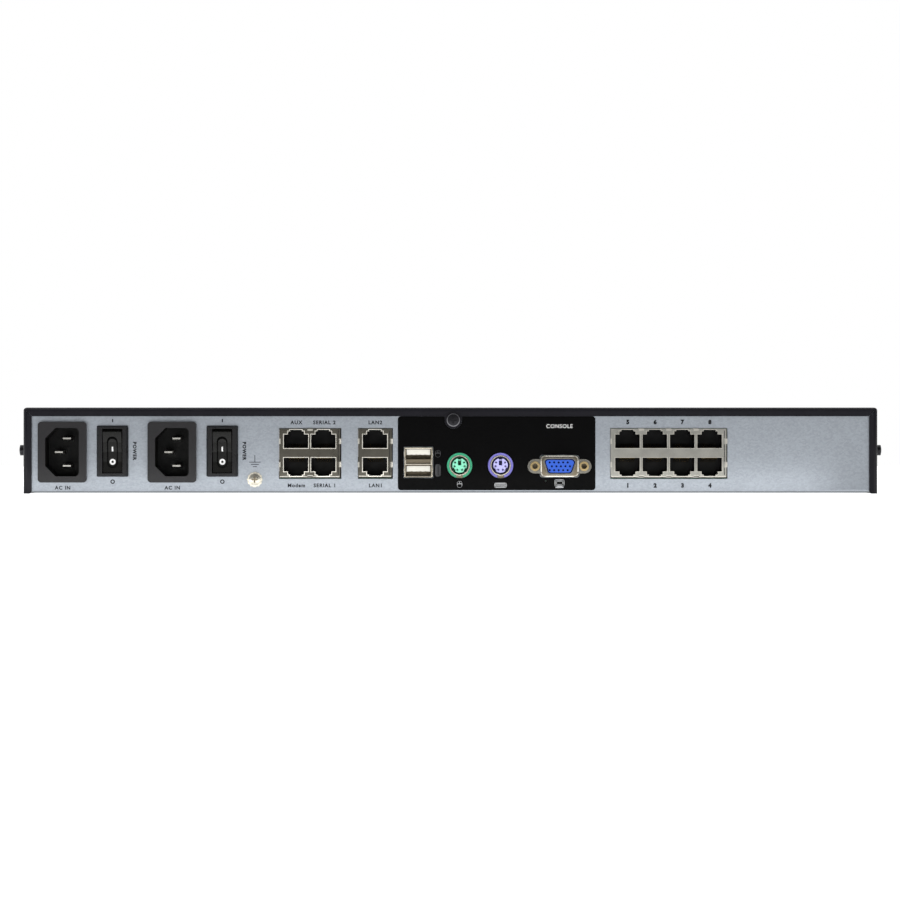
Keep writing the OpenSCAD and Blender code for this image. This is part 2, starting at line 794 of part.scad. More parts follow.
// The rocker's side profile in Y and Z, level, with its pivot at the origin.
module rocker_profile(forward = 0) {
    face_y = -3.7 - forward;
    hollow = 1.5;
    polygon([[face_y, -11], [face_y + hollow * 0.75, -5], [face_y + hollow, 0], [face_y + hollow * 0.75, 5],
             [face_y, 11], [2, 11], [5, 5], [5, -5], [2, -11]]);
}

module rocker(x) {
    color("#202022") at_rear(x, switch_z) translate([0, pivot_y, 0])
        rotate([rocker_throw / 2, 0, 0]) {
            difference() {
                intersection() {
                    along_x(-rocker_w / 2, rocker_w / 2) rocker_profile();
                    rod_x(rocker_r, -rocker_w, rocker_w);
                }
                // sunk finger track
                difference() {
                    along_y(-10, 0) rotate(90) stadium(16.3, 5.5);
                    along_x(-4, 4) rocker_profile(-0.8);
                }
            }
            rod_x(pivot_r, -6.1, 6.1);
        }
}

module switch_terminals() {
    color("#c9b37a") for (i = [0, 1]) at_rear(inlet_x + switch_offset + i * supply_pitch, switch_z)
        for (z = [-8, 0, 8], x = [-3, 3]) block([x - 0.4, 14, z - 2.4], [x + 0.4, 22, z + 2.4]);
}

// ---------------------------------------------------------------- boards

standoff_places = concat(
    [for (p = [[-92.5, 8], [-51.9, 8], [76.7, 8], [178, 8], [-92.5, 90], [178, 90],
               [-92.5, 164], [0, 164], [90, 164], [178, 164]]) [p[0], rear_y + p[1]]],
    [for (x = supply_x, dx = [-19, 19], dy = [5, supply_d - 5]) [x + dx, supply_y + dy]]);

module main_board() {
    color("#1f5f38") difference() {
        block([board_left, rear_y + 2, board_top - board_t], [board_right, rear_y + board_d, board_top]);
        for (p = standoff_places) translate([p[0], p[1], 0]) cylinder(r = 1.7, h = 20);
    }
}

module board_standoffs() {
    color("#cdb878") for (p = standoff_places) translate([p[0], p[1], floor_z]) difference() {
        cylinder(r = 3, h = board_top - board_t - floor_z);
        translate([0, 0, 1]) cylinder(r = 1.5, h = 10);
    }
}

module board_screws() {
    shank = 4.5;
    color("#d0d0d0") for (p = standoff_places) translate([p[0], p[1], board_top]) difference() {
        union() {
            cylinder(r = 2.8, h = 1.8);
            translate([0, 0, -shank]) cylinder(r = 1.48, h = shank + 0.5);
        }
        for (turn = [0, 90]) rotate([0, 0, turn]) translate([0, 0, 1.8]) cube([3, 0.7, 1.6], center = true);
    }
}

// Chips as [x, y from the panel, width, depth, height].
chips = concat(
    [[20, 95, 35, 35, 2.6], [100, 95, 27, 27, 2.2], [140, 105, 20, 20, 1.6], [-55, 70, 14, 20, 1.4],
     [-38, 45, 12, 12, 1.2], [55, 40, 14, 14, 1.2]],
    [for (i = [0:3]) [90 + 14 * i, 44, 9, 9, 1.2]],
    [for (i = [0:3]) [62 + 13 * (i % 2), 85 + 24 * floor(i / 2), 10, 18, 1.2]]);

module main_board_chips() {
    color("#222226") for (c = chips)
        translate([c[0], rear_y + c[1], board_top + c[4] / 2]) cube([c[2], c[3], c[4]], center = true);
}

module main_board_capacitors() {
    color("#3b4a6b") for (i = [0:5], j = [0, 1])
        translate([-82 + 11 * i, rear_y + 125 + 12 * j, board_top]) {
            cylinder(r = 4, h = 10.5);
            cylinder(r = 4.3, h = 1.2);
        }
}

module processor_heatsink() {
    side = 44;
    fin_h = 20;
    color("#b8bcc2") translate([20, rear_y + 95, board_top + 2.6]) {
        translate([-side / 2, -side / 2, 0]) cube([side, side, 3]);
        for (i = [0:10]) translate([-side / 2 + i * 4.28, -side / 2, 2.5]) cube([1.2, side, fin_h]);
    }
}

module coin_cell_holder() {
    color("#2b2b2b") translate([-60, rear_y + 100, board_top]) difference() {
        translate([-12, -12, 0]) cube([24, 24, 4.6]);
        translate([0, 0, 1.2]) cylinder(r = 10.2, h = 10);
        translate([-4, -14, 1.2]) cube([8, 8, 10]);
    }
}

module coin_cell() {
    color("#d4d4d6") translate([-60, rear_y + 100, board_top + 1.2]) {
        cylinder(r = 10, h = 2.6);
        cylinder(r = 8.6, h = 3.2);
    }
}

// ---------------------------------------------------------------- power supplies

module supply_boards() {
    color("#2d6b3c") difference() {
        for (x = supply_x)
            block([x - supply_w / 2, supply_y, board_top - board_t],
                  [x + supply_w / 2, supply_y + supply_d, board_top]);
        for (p = standoff_places) translate([p[0], p[1], 0]) cylinder(r = 1.7, h = 20);
    }
}

module supply_transformers() {
    color("#c9a93a") for (x = supply_x) {
        translate([x, supply_y + 88, board_top]) {
            translate([-13, -11, 0]) cube([26, 22, 21]);
            translate([-9, -14, 2]) cube([18, 28, 16]);
        }
        translate([x - 8, supply_y + 24, board_top]) cube([16, 15, 16]);
    }
}

module supply_capacitors() {
    color("#30343c") for (x = supply_x) {
        translate([x, supply_y + 46, board_top + 9.2]) rotate([-90, 0, 0]) cylinder(r = 9, h = 24);
        for (i = [-1, 0, 1]) translate([x + 11 * i, supply_y + 132, board_top]) cylinder(r = 4.8, h = 18);
    }
}

module supply_heatsinks() {
    color("#a8acb2") for (x = supply_x, s = [-1, 1]) translate([x + s * 19, supply_y + 78, board_top]) {
        translate([-1, -26, 0]) cube([2, 52, 24]);
        translate([s > 0 ? -5 : -1, -26, 22]) cube([6, 52, 2]);
    }
}

module mains_wiring() {
    wire_r = 1.1;
    color("#5a3a24") for (i = [0, 1], w = [-1, 1]) {
        inlet = [inlet_x + i * supply_pitch + 2, rear_y + 32.1, inlet_z + w * pin_spacing / 2];
        terminal = [inlet_x + i * supply_pitch + switch_offset - 3, rear_y + 22.1, switch_z + w * 8];
        header = [supply_x[i] + 6 * w, supply_y + 6, board_top + 3];
        tube(bend(inlet, [0, 9, 0], terminal, [0, -14, 0]), wire_r, [0, 0, 1]);
        tube(bend(terminal + [6, 0, 0], [0, 14, 0], header, [0, 0, -12]), wire_r, [1, 0, 0]);
    }
}

module dc_harness() {
    wire_r = 0.7;
    plug = [10, 6, 6];
    header_y = rear_y + 150;
    color("#a02a24") for (i = [0, 1]) {
        start_x = supply_x[i];
        finish_x = -65 - 14 * i;
        for (w = [-1:1]) {
            reach = 61.5 - 26 * i - 4.5 * w;
            start = [start_x + 3 * w, supply_y + supply_d - 6, board_top + 3];
            finish = [finish_x - 3 * w, header_y, board_top + 3];
            tube(bend(start, [0, reach, 20], finish, [0, -reach, 0], 12), wire_r, [0, 0, 1]);
        }
        translate([start_x, supply_y + supply_d - 6.1 - plug[1] / 2, board_top + plug[2] / 2])
            cube(plug, center = true);
        translate([finish_x, header_y - 0.1 - plug[1] / 2, board_top + plug[2] / 2])
            cube(plug, center = true);
    }
}

// ---------------------------------------------------------------- fans, turning about X

module fan_outline() {
    difference() {
        rounded_rect(fan_side, fan_side, 2.5);
        circle(fan_bore_r);
        for (sy = [-1, 1], sz = [-1, 1]) translate([sy * 16, sz * 16]) circle(1.75);
    }
}

module fan_frames() {
    half = fan_d / 2;
    hub_r = 10.5;
    spider_t = 2.5;
    color("#1a1a1c") for (y = fan_y) translate([fan_x, y, fan_z]) difference() {
        union() {
            along_x(-half, half - spider_t) fan_outline();
            along_x(half - spider_t, half) {
                fan_outline();
                circle(hub_r);
                for (turn = [30:120:270]) rotate(turn) translate([0, -1.4]) square([fan_bore_r + 0.4, 2.8]);
            }
            rod_x(2.8, -3, half - spider_t);
        }
        rod_x(fan_shaft_r + 0.05, -4, half - 1);
    }
}

module fan_rotor(y) {
    half = fan_d / 2;
    tip_r = 18.2;
    hub_r = 10.8;
    color("#242427") translate([fan_x, y, fan_z]) {
        difference() {
            rod_x(hub_r, -half + 0.8, half - 3.2);
            rod_x(hub_r - 1.3, -half + 2.4, half);
        }
        rod_x(fan_shaft_r, -half + 1.5, half - 1.6);
        intersection() {
            difference() {
                rod_x(tip_r, -half + 1.2, half - 3.4);
                rod_x(hub_r - 0.3, -half, half);
            }
            for (i = [0:fan_blades - 1]) rotate([360 * i / fan_blades, 0, 0])
                translate([-1.2, 0, 14]) rotate([0, 0, 36]) cube([40, 1.2, 12], center = true);
        }
    }
}

module fan_leads() {
    wire_r = 0.7;
    color("#9a2f2a") for (i = [0, 1], w = [0:2]) {
        start = [fan_x - fan_d / 2 - 0.1, fan_y[i] - 12 + 2 * w, 5];
        finish = [172, fan_y[i] - 12 + 2 * w, board_top + 5.1];
        tube(bend(start, [-8, 0, 0], finish, [0, 0, -7], 8), wire_r, [0, 1, 0]);
    }
    color("#e6e2d4") for (y = fan_y) translate([172, y - 10, board_top + 2.5]) cube([5, 8, 5], center = true);
}

// ---------------------------------------------------------------- indicator panel

module indicator_board() {
    color("#1f5f38") difference() {
        block([-16, indicator_y - board_t, 12], [186, indicator_y, 38]);
        for (p = indicator_screw_places) translate([p[0], 0, p[1]])
            rod_y(1.4, indicator_y - 5, indicator_y + 5);
    }
}

module indicator_lights() {
    color("#cfe8c8") for (x = led_x) translate([x, 0, led_z]) {
        rod_y(led_r, indicator_y + 1, front_y - led_r - 0.1);
        translate([0, front_y - led_r - 0.1, 0]) intersection() {
            sphere(r = led_r);
            rod_y(led_r + 1, -0.1, 3);
        }
        rod_y(2.3, indicator_y, indicator_y + 3);
    }
}

module push_button(x, r, face_y) {
    collar_y = tray_front - 0.1;
    color("#3a3a3e") translate([x, 0, button_z]) {
        rod_y(r, collar_y - 1, face_y);
        rod_y(r + 1.2, collar_y - 2, collar_y);
        rod_y(plunger_r, indicator_y + switch_h - 1.5, collar_y - 1);
    }
}

module button_switches() {
    color("#6b6b6b") for (x = [select_x, reset_x]) translate([x, 0, button_z]) difference() {
        block([-3, indicator_y, -3], [3, indicator_y + switch_h, 3]);
        rod_y(plunger_r + 0.1, indicator_y + 0.8, indicator_y + switch_h + cut);
    }
}

// Places of the screws that hold the bezel to the front plate.
bezel_screw_places = [for (x = [-207, -38, 204], z = [9, 35]) [x, z]];
indicator_screw_places = [[-12, 15], [182, 15], [-12, 35], [182, 35]];

module bezel_screws() {
    color("#c4c4c4") for (p = bezel_screw_places) translate([p[0], tray_front, p[1]])
        pan_screw(2.6, 1.7, bezel_screw_r, 4.6);
}

module indicator_screws() {
    color("#c4c4c4") for (p = indicator_screw_places) translate([p[0], indicator_y - board_t, p[1]])
        pan_screw(2.6, 1.7, bezel_screw_r, 6);
}

module front_ribbon() {
    top_z = 16;
    start_y = indicator_y - board_t;
    end_y = rear_y + 160;
    color("#8f9299") along_x(84, 100)
        polygon([[start_y, top_z - 1], [start_y - 8, top_z - 1], [end_y + 20, board_top + 2],
                 [end_y, board_top + 2], [end_y, board_top], [end_y - 4, board_top],
                 [end_y - 4, board_top + 2.8], [end_y + 20, board_top + 2.8],
                 [start_y - 8, top_z], [start_y, top_z]]);
}

// ---------------------------------------------------------------- the parts

top_cover();
chassis_tray();
front_plate();
front_bezel();
console_overlay();
cover_rear_screw();
cover_side_screws();
earth_screw();
earth_washer();
rack_nuts();
main_board();
main_board_chips();
main_board_capacitors();
processor_heatsink();
coin_cell();
coin_cell_holder();
board_standoffs();
board_screws();
jack_shield(ports_x, 4);  // port_jack_shield
jack_housing(ports_x, 4);  // port_jack_housing
jack_shield(serial_x, 2);  // serial_jack_shield
jack_housing(serial_x, 2);  // serial_jack_housing
jack_shield(lan_x, 1);  // lan_jack_shield
jack_housing(lan_x, 1);  // lan_jack_housing
jack_contacts();
usb_shell();
usb_tongues();
din_socket(mouse_x, "#3fae79");  // mouse_socket
din_socket(keyboard_x, "#7d74c9");  // keyboard_socket
din_inserts();
din_shields();
vga_shell();
vga_insulator();
vga_jackscrews();
mains_inlet(inlet_x);  // inlet_left
mains_inlet(inlet_x + supply_pitch);  // inlet_right
inlet_pins();
switch_body(inlet_x + switch_offset);  // switch_body_left
switch_body(inlet_x + switch_offset + supply_pitch);  // switch_body_right
rocker(inlet_x + switch_offset);  // rocker_left
rocker(inlet_x + switch_offset + supply_pitch);  // rocker_right
switch_terminals();
supply_boards();
supply_transformers();
supply_capacitors();
supply_heatsinks();
mains_wiring();
dc_harness();
fan_frames();
fan_rotor(fan_y[0]);  // fan_rotor_rear
fan_rotor(fan_y[1]);  // fan_rotor_front
fan_leads();
indicator_board();
indicator_screws();
indicator_lights();
push_button(select_x, 3.5, front_y - 0.1);  // select_button
push_button(reset_x, 1.3, front_y - 1.6);  // reset_button
button_switches();
front_ribbon();
bezel_screws();
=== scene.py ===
"""Rack-mount keyboard, video and mouse switch: finishes, printed marks, light and camera."""

import json
import math

import bmesh
import bpy
from mathutils import Matrix, Vector


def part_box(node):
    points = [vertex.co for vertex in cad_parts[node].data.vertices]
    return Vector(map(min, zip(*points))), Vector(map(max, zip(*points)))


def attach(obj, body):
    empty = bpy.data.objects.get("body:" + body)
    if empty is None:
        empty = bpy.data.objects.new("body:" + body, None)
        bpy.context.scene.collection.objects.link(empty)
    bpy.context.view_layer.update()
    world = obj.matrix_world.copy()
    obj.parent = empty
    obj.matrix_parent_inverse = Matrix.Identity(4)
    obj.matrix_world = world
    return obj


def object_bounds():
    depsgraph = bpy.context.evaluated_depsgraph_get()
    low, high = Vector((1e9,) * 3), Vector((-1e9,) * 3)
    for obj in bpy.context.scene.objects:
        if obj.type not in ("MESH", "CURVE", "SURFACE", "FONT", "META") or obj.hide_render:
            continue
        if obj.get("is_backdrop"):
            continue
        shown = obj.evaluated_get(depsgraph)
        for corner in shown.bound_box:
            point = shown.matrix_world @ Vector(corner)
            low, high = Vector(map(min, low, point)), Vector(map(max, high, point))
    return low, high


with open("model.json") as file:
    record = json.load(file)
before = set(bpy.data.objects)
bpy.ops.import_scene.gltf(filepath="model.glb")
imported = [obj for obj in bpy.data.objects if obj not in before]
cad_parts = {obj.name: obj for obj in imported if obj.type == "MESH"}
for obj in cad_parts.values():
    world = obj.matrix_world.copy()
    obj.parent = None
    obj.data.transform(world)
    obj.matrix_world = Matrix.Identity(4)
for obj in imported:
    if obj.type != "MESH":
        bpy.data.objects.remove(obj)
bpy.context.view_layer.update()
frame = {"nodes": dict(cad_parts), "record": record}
nodes = frame["nodes"]

MM = 0.001
PANEL_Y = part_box("chassis_tray")[0][1]
OVERLAY_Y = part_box("console_overlay")[0][1]
BEZEL_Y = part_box("front_bezel")[1][1]
VGA_FACE_Y = OVERLAY_Y - 1.5 * MM     # the screen socket's flange
SHIELD_Y = PANEL_Y - 0.6 * MM         # the face of the jack shields
LIP = 0.7 * MM                        # a shield's rim stands out further than this
STRIP_DEPTH = 0.6 * MM                # the label field lies this far behind the bezel's face
TOUCH = 0.1 * MM                      # faces nearer than this to a plane lie on it


# ---------------------------------------------------------------- materials


class Finish:
    """A Principled material whose colour, roughness and relief come from textures in object space."""

    def __init__(self, name):
        self.material = bpy.data.materials.new(name)
        self.material.use_nodes = True
        self.tree = self.material.node_tree
        self.shader = self.tree.nodes["Principled BSDF"]
        self.place = self.node("ShaderNodeTexCoord").outputs["Object"]

    def node(self, kind, **inputs):
        made = self.tree.nodes.new(kind)
        for key, value in inputs.items():
            self.put(made.inputs[key.replace("_", " ")], value)
        return made

    def put(self, socket, value):
        if isinstance(value, bpy.types.NodeSocket):
            self.tree.links.new(value, socket)
        else:
            socket.default_value = value

    def stretch(self, scale):
        mapping = self.node("ShaderNodeMapping", Vector=self.place)
        mapping.inputs["Scale"].default_value = scale
        return mapping.outputs["Vector"]

    def noise(self, size_mm, detail=3.0, rough=0.55, vector=None):
        made = self.node("ShaderNodeTexNoise", Vector=vector or self.place)
        made.inputs["Scale"].default_value = 1 / (size_mm * MM)
        made.inputs["Detail"].default_value = detail
        made.inputs["Roughness"].default_value = rough
        return made.outputs["Fac"]

    def cells(self, size_mm, vector=None):
        made = self.node("ShaderNodeTexVoronoi", Vector=vector or self.place)
        made.inputs["Scale"].default_value = 1 / (size_mm * MM)
        return made.outputs["Color"]

    def ramp(self, fac, low, high, start=0.3, end=0.7):
        made = self.node("ShaderNodeValToRGB", Fac=fac)
        first, last = made.color_ramp.elements
        first.position, last.position = start, end
        first.color = (*low, 1) if isinstance(low, tuple) else (low, low, low, 1)
        last.color = (*high, 1) if isinstance(high, tuple) else (high, high, high, 1)
        return made.outputs["Color"]

    def blend(self, fac, a, b, mode="MIX"):
        made = self.node("ShaderNodeMix")
        made.data_type = "RGBA"
        made.blend_type = mode
        self.put(made.inputs["Factor"], fac)
        self.put(made.inputs["A"], a)
        self.put(made.inputs["B"], b)
        return made.outputs["Result"]

    def relief(self, height, depth_mm, strength=1.0, under=None):
        made = self.node("ShaderNodeBump", Height=height)
        made.inputs["Strength"].default_value = strength
        made.inputs["Distance"].default_value = depth_mm * MM
        if under is not None:
            self.put(made.inputs["Normal"], under)
        return made.outputs["Normal"]

    def finish(self, color=None, rough=None, normal=None, **constants):
        if color is not None:
            self.put(self.shader.inputs["Base Color"], color)
        if rough is not None:
            self.put(self.shader.inputs["Roughness"], rough)
        if normal is not None:
            self.put(self.shader.inputs["Normal"], normal)
        for key, value in constants.items():
            self.shader.inputs[key.replace("_", " ")].default_value = value
        return self.material


def shades(color, spread):
    """The same colour a little darker and a little lighter."""
    return tuple(c * (1 - spread) for c in color), tuple(min(1, c * (1 + spread)) for c in color)


def plastic(name, color, rough=0.42, grain_mm=0.25, depth_mm=0.012, spread=0.12, **constants):
    """Moulded plastic with a fine grain and soft clouds."""
    f = Finish(name)
    dark, light = shades(color, spread)
    cloud = f.noise(9, 4)
    grain = f.noise(grain_mm, 2)
    tone = f.ramp(f.blend(0.4, cloud, grain), dark, light, 0.35, 0.65)
    gloss = f.ramp(f.noise(3.5, 4), rough * 0.85, rough * 1.15)
    return f.finish(tone, gloss, f.relief(grain, depth_mm), **constants)


def metal(name, color, rough=0.3, grain_mm=0.3, depth_mm=0.006, spread=0.1, streak=(1, 1, 1), **constants):
    """Bare or plated metal; streak squeezes its grain along an axis."""
    f = Finish(name)
    dark, light = shades(color, spread)
    grain = f.noise(grain_mm, 4, vector=f.stretch(streak))
    cloud = f.noise(4.5, 4)
    tone = f.ramp(f.blend(0.5, cloud, grain), dark, light, 0.35, 0.65)
    gloss = f.ramp(cloud, rough * 0.8, rough * 1.25)
    return f.finish(tone, gloss, f.relief(grain, depth_mm), Metallic=1.0, **constants)


def galvanised(name, color):
    """Zinc-coated sheet steel: pale spangle over a fine mottle."""
    f = Finish(name)
    dark, light = shades(color, 0.13)
    spangle = f.node("ShaderNodeSeparateColor", Color=f.cells(0.9, f.stretch((1, 1, 1.3))))
    mottle = f.noise(0.45, 3, 0.65)
    cloud = f.noise(9, 4)
    mixed = f.blend(0.3, f.blend(0.7, cloud, mottle), spangle.outputs["Red"])
    tone = f.ramp(mixed, dark, light, 0.25, 0.75)
    gloss = f.ramp(mottle, 0.4, 0.52)
    fine = f.relief(mottle, 0.008, 0.5)
    return f.finish(tone, gloss, f.relief(spangle.outputs["Green"], 0.004, 0.3, fine), Metallic=0.8)


def powder_coat(name, color):
    """Baked paint with grit on a gentle orange peel."""
    f = Finish(name)
    dark, light = shades(color, 0.18)
    peel = f.noise(0.7, 2)
    grit = f.noise(0.22, 2)
    tone = f.ramp(f.blend(0.5, f.noise(14, 4), grit), dark, light, 0.35, 0.65)
    gloss = f.ramp(f.noise(5, 4), 0.3, 0.4)
    relief = f.relief(grit, 0.01, 0.6, f.relief(peel, 0.015, 0.4))
    return f.finish(tone, gloss, relief, Specular_IOR_Level=0.16)


def film(name, color):
    """The printed black film behind the console sockets."""
    f = Finish(name)
    dark, light = shades(color, 0.2)
    tone = f.ramp(f.noise(12, 4), dark, light)
    gloss = f.ramp(f.noise(2.5, 5), 0.34, 0.46)
    return f.finish(tone, gloss, f.relief(f.noise(0.3, 2), 0.004), Specular_IOR_Level=0.05)


def board(name):
    """Circuit board with faint traces."""
    f = Finish(name)
    traces = f.node("ShaderNodeTexBrick", Vector=f.place)
    traces.inputs["Scale"].default_value = 1 / (6 * MM)
    traces.inputs["Mortar Size"].default_value = 0.05
    mask = f.ramp(traces.outputs["Fac"], (0.012, 0.09, 0.035), (0.03, 0.16, 0.06), 0.2, 0.8)
    tone = f.blend(f.noise(8, 5), mask, (0.014, 0.11, 0.045, 1))
    return f.finish(tone, f.ramp(f.noise(2, 4), 0.25, 0.4), f.relief(traces.outputs["Fac"], 0.02, 0.5))


def transformer(name):
    """Turns of yellow tape."""
    f = Finish(name)
    wave = f.node("ShaderNodeTexWave", Vector=f.place)
    wave.bands_direction = "Z"
    wave.inputs["Scale"].default_value = 1 / (9 * MM)
    tone = f.ramp(wave.outputs["Fac"], (0.55, 0.36, 0.05), (0.75, 0.55, 0.12))
    return f.finish(tone, f.ramp(f.noise(2, 4), 0.3, 0.45), f.relief(wave.outputs["Fac"], 0.05))


finishes = {
    "cover_black": powder_coat("cover_black", (0.0078, 0.0074, 0.0108)),
    "galvanised_steel": galvanised("galvanised_steel", (0.348, 0.378, 0.414)),
    "bezel_black": plastic("bezel_black", (0.016, 0.016, 0.018), 0.5, 0.35, 0.02),
    "overlay_black": film("overlay_black", (0.0012, 0.0012, 0.0013)),
    "black_screws": metal("black_screws", (0.03, 0.03, 0.033), 0.38, Specular_IOR_Level=0.4),
    "nickel_screws": metal("nickel_screws", (0.5, 0.475, 0.4), 0.3, 0.5, 0.02),
    "zinc_steel": metal("zinc_steel", (0.68, 0.69, 0.7), 0.3),
    "board_green": board("board_green"),
    "chip_black": plastic("chip_black", (0.02, 0.02, 0.022), 0.5),
    "capacitor_sleeve": plastic("capacitor_sleeve", (0.02, 0.03, 0.09), 0.25, 0.6, 0.005),
    "heatsink_aluminium": metal("heatsink_aluminium", (0.7, 0.72, 0.74), 0.32, streak=(0.1, 1, 1)),
    "cell_steel": metal("cell_steel", (0.72, 0.72, 0.72), 0.22),
    "brass": metal("brass", (0.72, 0.56, 0.3), 0.26),
    "jack_shield": metal("jack_shield", (0.1, 0.094, 0.078), 0.32, 0.5),
    "jack_plastic": plastic("jack_plastic", (0.005, 0.005, 0.005), 0.45, Specular_IOR_Level=0.2),
    "gold_contacts": metal("gold_contacts", (0.85, 0.62, 0.26), 0.2),
    "nickel_shell": metal("nickel_shell", (0.56, 0.52, 0.43), 0.25, 0.5),
    "usb_ivory": plastic("usb_ivory", (0.82, 0.8, 0.72), 0.35, spread=0.05),
    "mouse_green": plastic("mouse_green", (0.025, 0.33, 0.165), 0.34, spread=0.08),
    "keyboard_purple": plastic("keyboard_purple", (0.17, 0.155, 0.52), 0.34, spread=0.08),
    "socket_insert": plastic("socket_insert", (0.24, 0.78, 0.52), 0.36, spread=0.06),
    "screen_blue": plastic("screen_blue", (0.012, 0.09, 0.56), 0.36, spread=0.08),
    "inlet_plastic": plastic("inlet_plastic", (0.0115, 0.0108, 0.012), 0.42, Specular_IOR_Level=0.36),
    "rocker_plastic": plastic("rocker_plastic", (0.0055, 0.0054, 0.0048), 0.26, 0.4, 0.004,
                              Specular_IOR_Level=0.13),
    "transformer_tape": transformer("transformer_tape"),
    "wire_brown": plastic("wire_brown", (0.13, 0.05, 0.02), 0.4),
    "wire_red": plastic("wire_red", (0.4, 0.02, 0.015), 0.4),
    "fan_plastic": plastic("fan_plastic", (0.018, 0.018, 0.019), 0.45, 0.4, 0.015),
    "light_pipe": plastic("light_pipe", (0.62, 0.8, 0.55), 0.12, 0.6, 0.003, 0.06, Transmission_Weight=0.6),
    "button_grey": plastic("button_grey", (0.06, 0.06, 0.064), 0.4),
    "ribbon_grey": plastic("ribbon_grey", (0.4, 0.4, 0.42), 0.45),
}

slot_of = {part["node"]: part["material_slot"] for part in frame["record"]["subparts"]}
for name, thing in nodes.items():
    for place in thing.material_slots:
        place.material = finishes[slot_of[name]]

# Extra finishes. Several are painted light: lighter metals are painted highlights on rims, edges and a screw
# head's rim, and near-black finishes are painted shade in recesses, holes and folds. The rest are the parts'
# own colours.
rim_highlight_metal = metal("rim_highlight_metal", (0.86, 0.83, 0.74), 0.28, 0.5)
port_satin = metal("port_satin", (0.32, 0.315, 0.285), 0.36, 0.5)
recess_shade_plastic = plastic("recess_shade_plastic", (0.0035, 0.0033, 0.003), 0.5, Specular_IOR_Level=0.2)
socket_shadow = metal("socket_shadow", (0.2, 0.17, 0.12), 0.4)
screen_satin = metal("screen_satin", (0.2, 0.192, 0.168), 0.27, 0.5)
hole_shade_blue = plastic("hole_shade_blue", (0.002, 0.006, 0.05), 0.5, Specular_IOR_Level=0.1)
hole_shade_dark = plastic("hole_shade_dark", (0.006, 0.012, 0.014), 0.5, Specular_IOR_Level=0.1)
switch_black = plastic("switch_black", (0.009, 0.009, 0.0095), 0.3, 0.4, 0.006, Specular_IOR_Level=0.28)
track_black = plastic("track_black", (0.0008, 0.0008, 0.0008), 0.6, Specular_IOR_Level=0.02)
edge_highlight_metal = metal("edge_highlight_metal", (0.5, 0.485, 0.43), 0.32, 0.5)
screw_rim_glint = metal("screw_rim_glint", (0.17, 0.17, 0.18), 0.34, 0.5)
pin_metal = metal("pin_metal", (0.5, 0.49, 0.45), 0.3)
edge_shadow = metal("edge_shadow", (0.16, 0.17, 0.17), 0.5)
old_brass = metal("old_brass", (0.42, 0.32, 0.16), 0.3)
dark_print_and_shade = plastic("dark_print_and_shade", (0.008, 0.008, 0.01), 0.55, spread=0.25, Specular_IOR_Level=0.2)
print_light = plastic("print_light", (0.5, 0.51, 0.52), 0.5, spread=0.1)
print_grey = plastic("print_grey", (0.07, 0.07, 0.075), 0.5, spread=0.15)
mark_white = plastic("mark_white", (0.85, 0.85, 0.84), 0.45, spread=0.05)
purple_insert = plastic("purple_insert", (0.5, 0.49, 0.93), 0.36, spread=0.06)


def paint_faces(node, material, test):
    """Gives another finish to the faces of a node whose centre passes the test."""
    thing = nodes[node]
    thing.data.materials.append(material)
    last = len(thing.data.materials) - 1
    for face in thing.data.polygons:
        if test(thing.matrix_world @ face.center):
            face.material_index = last


def soften(node, width_mm, segments=2, edge=None):
    """Rounds the sharp edges of a node a little, with the edge material if there is one."""
    weld = nodes[node].modifiers.new("weld", "WELD")
    weld.merge_threshold = 1e-6
    bevel = nodes[node].modifiers.new("bevel", "BEVEL")
    bevel.width = width_mm * MM
    bevel.segments = segments
    bevel.limit_method = "ANGLE"
    bevel.angle_limit = math.radians(40)
    if edge is not None:
        nodes[node].data.materials.append(edge)
        bevel.material = len(nodes[node].data.materials) - 1


for node, width_mm in (("usb_shell", 0.2), ("vga_shell", 0.25), ("inlet_left", 0.3), ("inlet_right", 0.3),
                       ("switch_body_left", 0.2), ("switch_body_right", 0.2), ("top_cover", 0.2)):
    soften(node, width_mm)
# Painted shade: the bevels round the holes of the screen socket and of the round sockets' inserts take
# darker finishes.
soften("vga_insulator", 0.22, edge=hole_shade_blue)
soften("din_inserts", 0.12, edge=hole_shade_dark)

SHIELD_LEFT, SHIELD_RIGHT = 0.13 * MM, 0.53 * MM     # a shield's face is set in this far from its box
FOOT_SLOT = (1.75 * MM, 1.85 * MM, 2.6 * MM)         # half width, height and depth, under a round socket
JACKSCREW_INSET, JACKSCREW_HALF = 2.45 * MM, 1.5 * MM
EARTH_WASHER = 2.2 * MM
PANEL_THICK = 0.95 * MM

for side in ("left", "right"):
    nodes[f"switch_body_{side}"].material_slots[0].material = switch_black
nodes["port_jack_shield"].material_slots[0].material = port_satin
nodes["inlet_pins"].material_slots[0].material = pin_metal
# Painted highlight: the rims, edges and spring fingers at the front of each jack shield get a lighter metal
# than the shield.
for block, rim in (("port", edge_highlight_metal), ("serial", rim_highlight_metal), ("lan", rim_highlight_metal)):
    low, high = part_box(f"{block}_jack_shield")
    paint_faces(f"{block}_jack_shield", rim, lambda c: (
        c.y < PANEL_Y - LIP or (c.y < PANEL_Y and not (
            low[0] + SHIELD_LEFT + 0.01 * MM < c.x < high[0] - SHIELD_RIGHT - 0.01 * MM))))
